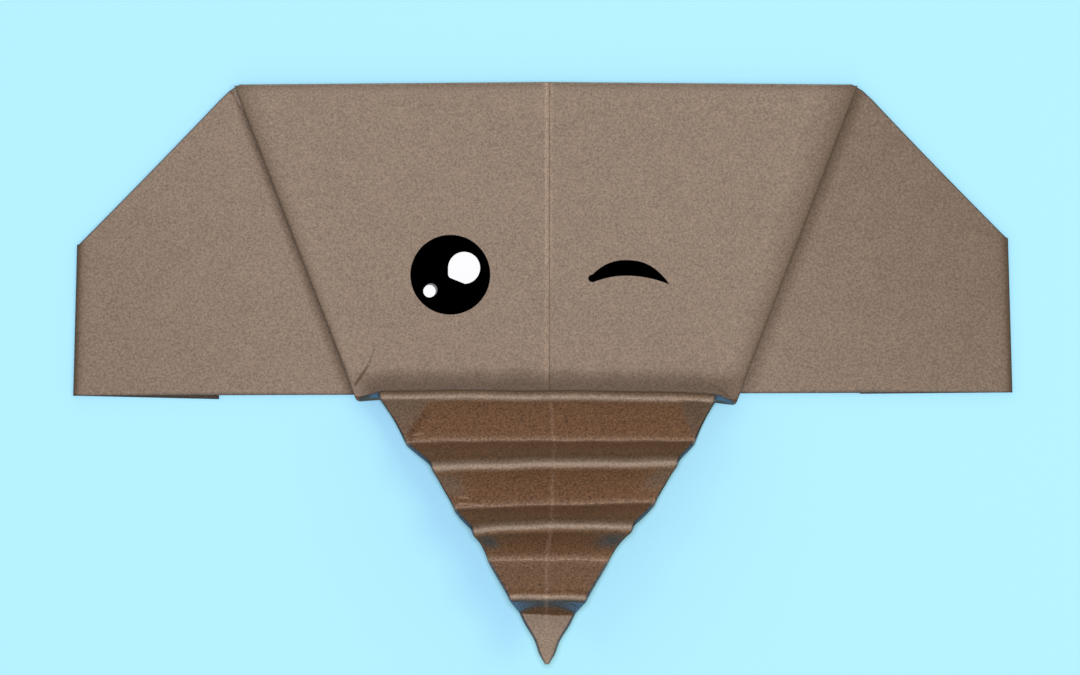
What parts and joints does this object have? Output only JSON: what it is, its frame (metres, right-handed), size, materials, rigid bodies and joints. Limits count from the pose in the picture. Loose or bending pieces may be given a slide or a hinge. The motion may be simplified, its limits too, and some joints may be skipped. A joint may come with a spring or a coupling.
{
  "type": "origami elephant head",
  "caption": "Elephant head folded from one square of brown paper, with wide ears, a pleated trunk, one open eye and one winking eye.",
  "frame": {"origin": "centre of the bounding box in X and Y, at the back of the folded ear ends, on which the head rests", "axes": "+X from ear to ear, towards the winking eye; +Y towards the top of the head, away from the tip of the trunk; +Z out of the face, up while the head lies on its back"},
  "size_m": [0.1332, 0.0826, 0.0154],
  "materials": {
    "brown_paper": "uncoated kraft paper, soft fibre mottling, matte",
    "black_ink": "black marker ink, matte",
    "white_ink": "white marker ink, matte"
  },
  "bodies": {
    "root": {"folded_sheet": "brown_paper", "open_eye": "black_ink", "eye_glints": "white_ink", "winking_eye": "black_ink"}
  },
  "joints": []
}
